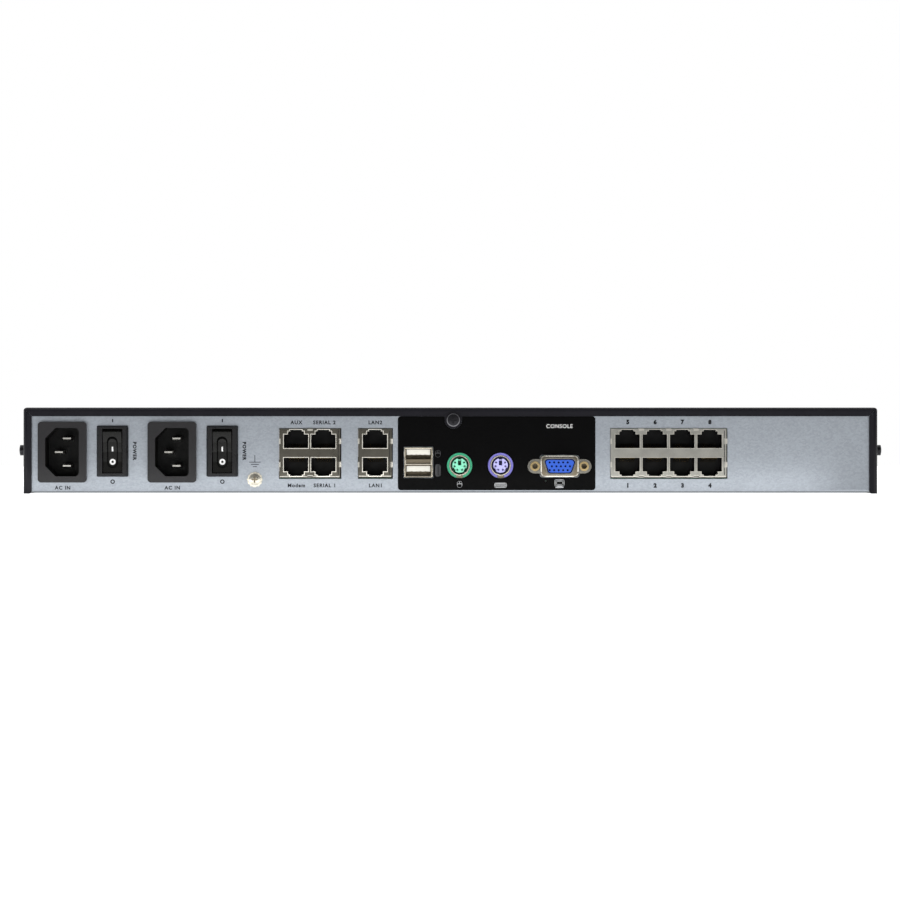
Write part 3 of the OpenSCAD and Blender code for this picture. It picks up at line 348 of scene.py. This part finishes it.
# Painted shade: the faces inside each inlet's recess are darkened.
for side in ("left", "right"):
    low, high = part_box(f"inlet_{side}")
    paint_faces(f"inlet_{side}", recess_shade_plastic, lambda c: (
        c.y > low[1] + TOUCH and low[0] + MM < c.x < high[0] - MM and low[2] + MM < c.z < high[2] - MM))
low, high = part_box("usb_shell")
paint_faces("usb_shell", socket_shadow, lambda c: (
    c.y > low[1] + 0.3 * MM and low[0] + 0.7 * MM < c.x < high[0] - 0.7 * MM
    and low[2] + 0.6 * MM < c.z < high[2] - 0.6 * MM))
low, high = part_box("chassis_tray")
paint_faces("chassis_tray", edge_shadow, lambda c: c.y < low[1] + 1.6 * MM and c.z < low[2] + 0.6 * MM)
usb_low, usb_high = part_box("usb_shell")
# Painted shade: the walls of the tray's opening round the USB socket are darkened with the dark print
# finish.
paint_faces("chassis_tray", dark_print_and_shade, lambda c: (
    PANEL_Y + TOUCH / 2 < c.y < PANEL_Y + PANEL_THICK
    and usb_low[0] - MM < c.x < usb_high[0] + MM and usb_low[2] - MM < c.z < usb_high[2] + MM))
paint_faces("vga_shell", socket_shadow, lambda c: abs(c.y - VGA_FACE_Y) < TOUCH / 2)
nodes["vga_shell"].material_slots[0].material = screen_satin
nodes["vga_jackscrews"].material_slots[0].material = old_brass
low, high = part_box("vga_insulator")
# Painted shade: the walls of the screen socket's holes are darkened.
paint_faces("vga_insulator", hole_shade_blue, lambda c: low[1] + TOUCH < c.y < PANEL_Y - TOUCH)
for name in ("mouse_socket", "keyboard_socket"):
    low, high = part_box(name)
    paint_faces(name, socket_shadow, lambda c: (
        abs(c.x - (low[0] + high[0]) / 2) < FOOT_SLOT[0] and c.z < low[2] + FOOT_SLOT[1]
        and low[1] + TOUCH < c.y < low[1] + FOOT_SLOT[2]))
low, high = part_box("vga_jackscrews")
paint_faces("vga_jackscrews", socket_shadow, lambda c: (
    c.y > low[1] + 0.3 * MM
    and min(abs(c.x - low[0] - JACKSCREW_INSET), abs(c.x - high[0] + JACKSCREW_INSET)) < JACKSCREW_HALF
    and abs(c.z - (low[2] + high[2]) / 2) < JACKSCREW_HALF))
low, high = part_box("earth_screw")
paint_faces("earth_screw", socket_shadow, lambda c: (
    low[1] + 0.25 * MM < c.y < low[1] + 1.5 * MM and (c.x - (low[0] + high[0]) / 2) ** 2
    + (c.z - (low[2] + high[2]) / 2) ** 2 < EARTH_WASHER ** 2))
split_x = (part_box("mouse_socket")[1][0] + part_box("keyboard_socket")[0][0]) / 2
paint_faces("din_inserts", purple_insert, lambda c: c.x > split_x)


# ---------------------------------------------------------------- printed marks

INK = 0.04 * MM     # how thick a printed mark stands
CAPITAL = 0.7       # height of a capital for a font size of one


def centre(node):
    low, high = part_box(node)
    return [(a + b) / 2 for a, b in zip(low, high)]


def strip(points, wide):
    """A flat line of the given width through points (x, z), as one quad for each stretch."""
    quads = []
    for (x0, z0), (x1, z1) in zip(points, points[1:]):
        along = Vector((x1 - x0, z1 - z0)).normalized() * wide / 2
        side = Vector((-along.y, along.x))
        a, b = Vector((x0, z0)) - along, Vector((x1, z1)) + along
        quads.append([a - side, b - side, b + side, a + side])
    return quads


def ring(x, z, outer, inner, turns=32):
    """A flat ring as quads."""
    def at(i, r):
        angle = 2 * math.pi * i / turns
        return Vector((x + r * math.cos(angle), z + r * math.sin(angle)))
    return [[at(i, inner), at(i, outer), at(i + 1, outer), at(i + 1, inner)] for i in range(turns)]


def outline(x, z, wide, high, line, radius=0.0):
    """The outline of a rounded rectangle centred on x, z."""
    points = []
    for cx, cz, start in ((1, 1, 0), (-1, 1, 90), (-1, -1, 180), (1, -1, 270)):
        for step in range(5):
            angle = math.radians(start + 90 * step / 4)
            points.append((x + cx * (wide / 2 - radius) + radius * math.cos(angle),
                           z + cz * (high / 2 - radius) + radius * math.sin(angle)))
    return strip(points + points[:1], line)


def lettering(body, x, z, cap, bold=0.035, turn=0.0, spread=1.2):
    """Letters of the given capital height, centred on x, z, as polygons in x and z."""
    curve = bpy.data.curves.new("lettering", "FONT")
    curve.body = body
    curve.space_character = spread
    curve.align_x, curve.align_y = "CENTER", "CENTER"
    curve.offset = bold
    curve.resolution_u = 4
    holder = bpy.data.objects.new("lettering", curve)
    bpy.context.collection.objects.link(holder)
    mesh = bpy.data.meshes.new_from_object(holder.evaluated_get(bpy.context.evaluated_depsgraph_get()))
    bpy.data.objects.remove(holder)
    xs = [v.co.x for v in mesh.vertices]
    ys = [v.co.y for v in mesh.vertices]
    size = cap / CAPITAL
    middle = Vector(((max(xs) + min(xs)) / 2, (max(ys) + min(ys)) / 2))
    spin = Matrix.Rotation(turn, 2)
    at = [spin @ ((v.co.xy - middle) * size) + Vector((x, z)) for v in mesh.vertices]
    polygons = [[at[i] for i in p.vertices] for p in mesh.polygons]
    bpy.data.meshes.remove(mesh)
    bpy.data.curves.remove(curve)
    return polygons


def printed(name, polygons, y, material, body="case", facing=-1, skin=None):
    """The polygons as a raised skin of ink on the plane y, or on the surface that skin gives."""
    mesh = bmesh.new()
    for polygon in polygons:
        if facing > 0:
            polygon = polygon[::-1]
        mesh.faces.new([mesh.verts.new((p.x, y, p.y)) for p in polygon])
    bmesh.ops.remove_doubles(mesh, verts=mesh.verts, dist=1e-7)
    bmesh.ops.solidify(mesh, geom=mesh.faces[:], thickness=INK)
    front = min(v.co.y for v in mesh.verts) + INK if facing < 0 else min(v.co.y for v in mesh.verts)
    for v in mesh.verts:
        v.co.y += y - front
    if skin:
        for v in mesh.verts:
            v.co = skin(v.co)
    bmesh.ops.recalc_face_normals(mesh, faces=mesh.faces)
    data = bpy.data.meshes.new(name)
    mesh.to_mesh(data)
    mesh.free()
    data.materials.append(material)
    piece = bpy.data.objects.new(name, data)
    bpy.context.collection.objects.link(piece)
    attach(piece, body)
    return piece


def mouse_sign(x, z, high):
    """A mouse seen from above."""
    wide = 0.76 * high
    line = 0.08 * high
    return (outline(x, z, wide - line, high - line, line, 0.28 * high)
            + strip([(x, z + high * 0.46), (x, z + 0.1 * high)], line)
            + strip([(x - wide / 2 + line, z + 0.08 * high), (x + wide / 2 - line, z + 0.08 * high)], line))


def keyboard_sign(x, z, wide, high, upright=False):
    """A keyboard with three rows of keys, standing on its end if upright."""
    line = 0.13 * high
    shapes = outline(x, z, wide - line, high - line, line, 0.1 * high)
    for row in (-1, 0, 1):
        across = [x + wide * (i - 3.5) * 0.115 for i in range(8)]
        for cx in across:
            half = wide * (0.035 if row >= 0 else 0.06)
            row_z = z + row * 0.25 * high
            shapes += strip([(cx - half, row_z), (cx + half, row_z)], line)
    if upright:
        shapes = [[Vector((x - (p.y - z), z + (p.x - x))) for p in s] for s in shapes]
    return shapes


def screen_sign(x, z, high):
    """A screen on its foot."""
    line = 0.1 * high
    return (outline(x, z + 0.12 * high, 1.08 * high, 0.72 * high, line, 0.06 * high)
            + outline(x, z + 0.12 * high, 0.72 * high, 0.4 * high, 0.06 * high, 0.04 * high)
            + strip([(x - 0.42 * high, z - 0.42 * high), (x + 0.42 * high, z - 0.42 * high)], line * 1.3)
            + strip([(x - 0.22 * high, z - 0.32 * high), (x + 0.22 * high, z - 0.32 * high)], line))


def d_line(x, z, wide, high, radius, line, slope=1.3 * MM):
    """A thin line just inside a D-shaped outline, wide side up."""
    half_w, half_h = wide / 2 - line / 2, high / 2 - line / 2
    corners = ((half_w - radius, half_h - radius, 0, 90),
               (radius - half_w, half_h - radius, 90, 80),
               (radius + slope - half_w, radius - half_h, 170, 100),
               (half_w - slope - radius, radius - half_h, 270, 80))
    points = []
    for cx, cz, start, sweep in corners:
        for step in range(5):
            angle = math.radians(start + sweep * step / 4)
            points.append((x + cx + radius * math.cos(angle), z + cz + radius * math.sin(angle)))
    return strip(points + points[:1], line)


def shield_trim_highlights(node, columns):
    """Painted highlights on a jack shield's folded lower edge, its spring fingers and the tabs between its
    jacks, as strips.
    """
    low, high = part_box(node)
    left, right = low[0] + SHIELD_LEFT, high[0] - SHIELD_RIGHT
    finger_row, finger_half, tab_half, tab_line = 5.95 * MM, 1.0 * MM, 0.9 * MM, 0.9 * MM
    middle = (low[2] + high[2]) / 2
    shapes = strip([(left + 0.6 * MM, low[2] + 0.55 * MM), (right - 0.6 * MM, low[2] + 0.55 * MM)], 0.5 * MM)
    for row in (-1, 1):
        z = middle + row * finger_row
        shapes += strip([(left + 0.35 * MM, z - finger_half), (left + 0.35 * MM, z + finger_half)], 0.7 * MM)
        shapes += strip([(right - 0.3 * MM, z - 1.05 * MM), (right - 0.3 * MM, z + 1.05 * MM)], 0.6 * MM)
        edge_z = middle + row * (high[2] - low[2] - 1.7 * MM) / 2
        for a, b in zip(columns, columns[1:]):
            x = (a + b) / 2
            shapes += strip([(x - tab_half, edge_z), (x + tab_half, edge_z)], tab_line)
    return shapes


def shield_crease_shade(node):
    """Painted shade along the folds beside a jack shield's right edge, above, between and below its fingers.
    """
    low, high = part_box(node)
    x = high[0] - 1.55 * MM
    middle = (low[2] + high[2]) / 2
    inner, outer, end = 4.3 * MM, 7.6 * MM, (high[2] - low[2]) / 2 - 1.4 * MM
    crease = 0.32 * MM
    shapes = strip([(x, middle - inner), (x, middle + inner)], crease)
    for row in (-1, 1):
        shapes += strip([(x, middle + row * outer), (x, middle + row * end)], crease)
    return shapes


def jack_columns(node, count, pitch=13.97 * MM):
    """The sideways centre of each column of jacks in a block."""
    x = centre(node)[0]
    return [x + (i - (count - 1) / 2) * pitch for i in range(count)]


LABEL = 1.8 * MM     # height of the capitals on the panel
EARTH_LINE = 0.32 * MM
above_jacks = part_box("port_jack_housing")[1][2] + 3.5 * MM
below_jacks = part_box("port_jack_housing")[0][2] - 4.5 * MM

panel = []
for side in ("left", "right"):
    inlet_x = centre(f"inlet_{side}")[0]
    inlet_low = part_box(f"inlet_{side}")[0][2]
    panel += lettering("AC IN", inlet_x, inlet_low / 2 + 0.2 * MM, LABEL)
    switch_x, _, switch_z = centre(f"switch_body_{side}")
    low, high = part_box(f"switch_body_{side}")
    panel += strip([(switch_x, high[2] + 2.0 * MM), (switch_x, high[2] + 3.1 * MM)], 0.6 * MM)
    panel += ring(switch_x, low[2] - 2.5 * MM, 1.15 * MM, 0.6 * MM)
    panel += lettering("POWER", high[0] + 3.2 * MM, switch_z, 0.93 * LABEL, bold=0.05, turn=-math.pi / 2)

serial_columns = jack_columns("serial_jack_shield", 2)
lan_column = centre("lan_jack_shield")[0]
port_columns = jack_columns("port_jack_shield", 4)
for words, x, z in (
    ("AUX", serial_columns[0], above_jacks),
    ("SERIAL 2", serial_columns[1] + 0.3 * MM, above_jacks),
    ("Modem", serial_columns[0], below_jacks),
    ("SERIAL 1", serial_columns[1] + 0.3 * MM, below_jacks),
    ("LAN2", lan_column, above_jacks),
    ("LAN1", lan_column, below_jacks),
):
    panel += lettering(words, x, z, LABEL)
for i, x in enumerate(port_columns):
    panel += lettering(str(i + 5), x, above_jacks + 0.2 * MM, 1.1 * LABEL, bold=0.075)
    panel += lettering(str(i + 1), x, below_jacks, 1.1 * LABEL, bold=0.075)

earth_x, _, earth_z = centre("earth_screw")
top = earth_z + 12.3 * MM
panel += strip([(earth_x, top), (earth_x, top - 3.2 * MM)], EARTH_LINE)
for i, half in enumerate((2.8, 1.8, 0.9)):
    z = top - (3.4 + 1.15 * i) * MM
    panel += strip([(earth_x - half * MM, z), (earth_x + half * MM, z)], EARTH_LINE)
printed("panel_print", panel, PANEL_Y, dark_print_and_shade)

usb_x, _, usb_z = centre("usb_shell")
usb_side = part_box("usb_shell")[1][0]
mouse_x, _, din_z = centre("mouse_socket")
keyboard_x = centre("keyboard_socket")[0]
vga_x, _, vga_z = centre("vga_shell")
sign_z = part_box("console_overlay")[0][2] + 3 * MM
side_x = usb_side + 2.5 * MM
console_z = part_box("console_overlay")[1][2] - 5 * MM
console = lettering("CONSOLE", vga_x, console_z, 1.95 * MM, bold=0.0, spread=1.1)
printed("console_word", console, OVERLAY_Y, mark_white)
signs = (mouse_sign(mouse_x, sign_z, 3.5 * MM)
         + keyboard_sign(keyboard_x, sign_z - 0.5 * MM, 6.3 * MM, 2.5 * MM)
         + screen_sign(vga_x, sign_z + 0.2 * MM, 4.2 * MM))
printed("console_signs", signs, OVERLAY_Y, print_light)
# Painted highlight: a bright ring along the rim of the screen socket's flange.
printed("vga_rim_highlight", outline(vga_x, vga_z, 18.8 * MM, 10.3 * MM, 0.5 * MM, 2 * MM), VGA_FACE_Y,
        rim_highlight_metal)
low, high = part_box("vga_insulator")
# Painted shade: a dark line along the gap round the screen socket's insulator.
printed("vga_seam_shade", d_line(vga_x, vga_z, 15.4 * MM, 7.3 * MM, 1.65 * MM, 0.45 * MM), low[1], hole_shade_blue)
# Painted highlights along each jack shield's lower edge, fingers and tabs, and painted shade along the folds
# by its right edge.
for block, columns in (("port", port_columns), ("serial", serial_columns), ("lan", [lan_column])):
    shield = f"{block}_jack_shield"
    printed(f"{block}_shield_trim_highlights", shield_trim_highlights(shield, columns), SHIELD_Y, edge_highlight_metal)
    printed(f"{block}_shield_crease_shade", shield_crease_shade(shield), SHIELD_Y, dark_print_and_shade)
faint = (mouse_sign(side_x, usb_z + 4.4 * MM, 3.7 * MM)
         + keyboard_sign(side_x, usb_z - 4.1 * MM, 6.1 * MM, 2.6 * MM, upright=True))
printed("usb_signs", faint, OVERLAY_Y, print_grey)


# ---------------------------------------------------------------- front labels


def clusters(node, gap=1.5 * MM):
    """The sideways centres of a node's separate pieces, in order of x."""
    thing = nodes[node]
    xs = sorted((thing.matrix_world @ v.co).x for v in thing.data.vertices)
    groups = [[xs[0]]]
    for x in xs[1:]:
        if x - groups[-1][-1] > gap:
            groups.append([])
        groups[-1].append(x)
    return [(g[0] + g[-1]) / 2 for g in groups]


def turned(polygons, x):
    """Polygons mirrored about x, to read correctly from the front."""
    return [[Vector((2 * x - p.x, p.y)) for p in polygon] for polygon in polygons]


lights = clusters("indicator_lights")[::-1]
light_z = centre("indicator_lights")[2]
words = [str(i + 1) for i in range(8)] + ["LAN", "AUX", "P1", "P2"]
front = []
for word, x in zip(words, lights):
    front += turned(lettering(word, x, light_z + 5.5 * MM, 2 * MM), x)
for word, node in (("SELECT", "select_button"), ("RESET", "reset_button")):
    x = centre(node)[0]
    front += turned(lettering(word, x, light_z + 6.5 * MM, 1.7 * MM, bold=0.03), x)
port_middle = (lights[0] + lights[7]) / 2
front += turned(lettering("PORT", port_middle, light_z - 6 * MM, 2 * MM), port_middle)
printed("front_print", front, BEZEL_Y - STRIP_DEPTH, print_light, facing=1)


# ---------------------------------------------------------------- rocker marks

ROCKER_TILT = math.radians(10)
# Heights and depths from the pivot, in millimetres, of the folds in a rocker's hollow face.
PAD = [(-11, -2.9), (-5, -1.775), (0, -1.4), (5, -1.775), (11, -2.9)]


def on_rocker(pivot):
    """Moves a flat mark onto the rocker's hollow face, turned as the rocker rests."""
    def place(co):
        z = (co.z - pivot.z) / MM
        for (z0, y0), (z1, y1) in zip(PAD, PAD[1:]):
            if z <= z1:
                face = y0 + (y1 - y0) * (z - z0) / (z1 - z0)
                break
        depth = co.y - pivot.y
        flat = Vector((co.x - pivot.x, face * MM + depth, co.z - pivot.z))
        return Matrix.Rotation(ROCKER_TILT, 3, "X") @ flat + pivot
    return place


def track_edge(x, z, wide, high, top_line, foot_line, side_line):
    """The shadow line round a sunk track with round ends, as quads short enough to follow the rocker."""
    def edge(half_w, top, foot):
        points = []
        for step in range(9):
            angle = math.pi * step / 8
            points.append((x + half_w * math.cos(angle), z + top - half_w + half_w * math.sin(angle)))
        heights = [top - half_w + (foot + half_w - top + half_w) * i / 6 for i in range(1, 6)]
        points += [(x - half_w, z + h) for h in heights]
        for step in range(9):
            angle = math.pi + math.pi * step / 8
            points.append((x + half_w * math.cos(angle), z + foot + half_w + half_w * math.sin(angle)))
        points += [(x + half_w, z + h) for h in heights[::-1]]
        return [Vector(p) for p in points]
    outer = edge(wide / 2, high / 2, -high / 2)
    inner = edge(wide / 2 - side_line, high / 2 - top_line, -high / 2 + foot_line)
    turn = list(range(len(outer)))
    return [[outer[i], outer[j], inner[j], inner[i]] for i, j in zip(turn, turn[1:] + turn[:1])]


joints = {j["name"]: j for j in frame["record"]["behaviour"]["joints"]}
for side in ("left", "right"):
    pivot = Vector(joints[f"rocker_{side}_tilt"]["pos_m"])
    bar = strip([(pivot.x, pivot.z + 0.5 * MM), (pivot.x, pivot.z + 2.2 * MM)], 0.72 * MM)
    circle = ring(pivot.x, pivot.z - 5.2 * MM, 1.52 * MM, 0.62 * MM)
    printed(f"rocker_marks_{side}", bar + circle, pivot.y, mark_white,
            f"rocker_{side}", skin=on_rocker(pivot))
    shadow = track_edge(pivot.x, pivot.z, 5.4 * MM, 16.2 * MM, 1.3 * MM, 0.3 * MM, 0.5 * MM)
    printed(f"track_edge_{side}", shadow, pivot.y, track_black,
            f"rocker_{side}", skin=on_rocker(pivot))

low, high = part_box("cover_rear_screw")
head_r = (high[0] - low[0]) / 2
HEAD_DOME = 0.396 * MM     # the fall of the dome from its middle to its rim
screw_x, screw_z = (low[0] + high[0]) / 2, (low[2] + high[2]) / 2


def on_dome(co):
    """Moves a flat ring onto the domed screw head."""
    radius = math.hypot(co.x - screw_x, co.z - screw_z)
    return Vector((co.x, co.y + HEAD_DOME * (radius / head_r) ** 2, co.z))


# Painted highlight: a thin lighter ring round the rim of the rear screw's head, standing in for a glint.
printed("rear_screw_glint", ring(screw_x, screw_z, head_r - 0.04 * MM, head_r - 0.45 * MM), low[1],
        screw_rim_glint, skin=on_dome)


# ---------------------------------------------------------------- stage, light and camera

FLOOR = 6.0     # side of the white table, in metres
bpy.ops.mesh.primitive_plane_add(size=FLOOR, location=(0, 0, 0))
floor = bpy.context.object
floor.name = "floor"
pale = Finish("pale_floor")
tone = pale.ramp(pale.noise(400, 2), (0.86, 0.86, 0.86), (0.9, 0.9, 0.9))
gloss = pale.ramp(pale.noise(150, 2), 0.6, 0.7)
pale.finish(tone, gloss, Emission_Color=(1, 1, 1, 1), Emission_Strength=0.85)
floor.data.materials.append(pale.material)
floor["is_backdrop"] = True

CAMERA_SIDE = 0.17     # how bright the surroundings are behind the camera; white on the other side
world = bpy.data.worlds.new("studio")
bpy.context.scene.world = world
world.use_nodes = True
background = world.node_tree.nodes["Background"]
direction = world.node_tree.nodes.new("ShaderNodeTexCoord")
bright_side = world.node_tree.nodes.new("ShaderNodeVectorMath")
bright_side.operation = "DOT_PRODUCT"
bright_side.inputs[1].default_value = (-0.3, 0.8, 0.55)
fade = world.node_tree.nodes.new("ShaderNodeValToRGB")
fade.color_ramp.elements[0].position = 0.0
fade.color_ramp.elements[0].color = (CAMERA_SIDE, CAMERA_SIDE, CAMERA_SIDE * 1.04, 1)
fade.color_ramp.elements[1].position = 0.35
fade.color_ramp.elements[1].color = (1, 1, 1, 1)
world.node_tree.links.new(direction.outputs["Generated"], bright_side.inputs[0])
world.node_tree.links.new(bright_side.outputs["Value"], fade.inputs["Fac"])
world.node_tree.links.new(fade.outputs["Color"], background.inputs["Color"])
background.inputs["Strength"].default_value = 1.0


def soft_box(name, at, size, power, towards=(0, 0, 0.02)):
    """A rectangular light at a place, aimed at another."""
    light = bpy.data.lights.new(name, "AREA")
    light.shape = "RECTANGLE"
    light.size, light.size_y = size
    light.energy = power
    lamp = bpy.data.objects.new(name, light)
    lamp.location = at
    lamp.rotation_euler = (Vector(towards) - Vector(at)).to_track_quat("-Z", "Y").to_euler()
    bpy.context.collection.objects.link(lamp)


soft_box("key_light", (-1.1, -1.1, 1.2), (1.2, 0.8), 4.5)
soft_box("fill_light", (1.4, -1.0, 0.8), (1.0, 0.8), 2.5)
soft_box("top_light", (0, 0.1, 1.6), (1.6, 1.2), 5)
soft_box("table_glow", (-0.02, PANEL_Y - 0.03, 0.004), (0.43, 0.006), 0.022, (-0.02, PANEL_Y, 0.004))

VIEW_WIDTH = 0.4594     # metres across the picture, at the connector panel
DISTANCE = 1.9
camera = bpy.data.cameras.new("camera")
camera.lens = camera.sensor_width * DISTANCE / VIEW_WIDTH
holder = bpy.data.objects.new("camera", camera)
holder.location = (-0.0002, PANEL_Y - DISTANCE, 0.0223)
holder.rotation_euler = (math.pi / 2, 0, 0)
bpy.context.collection.objects.link(holder)
bpy.context.scene.camera = holder
bpy.context.scene.view_settings.view_transform = "Standard"

low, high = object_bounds()
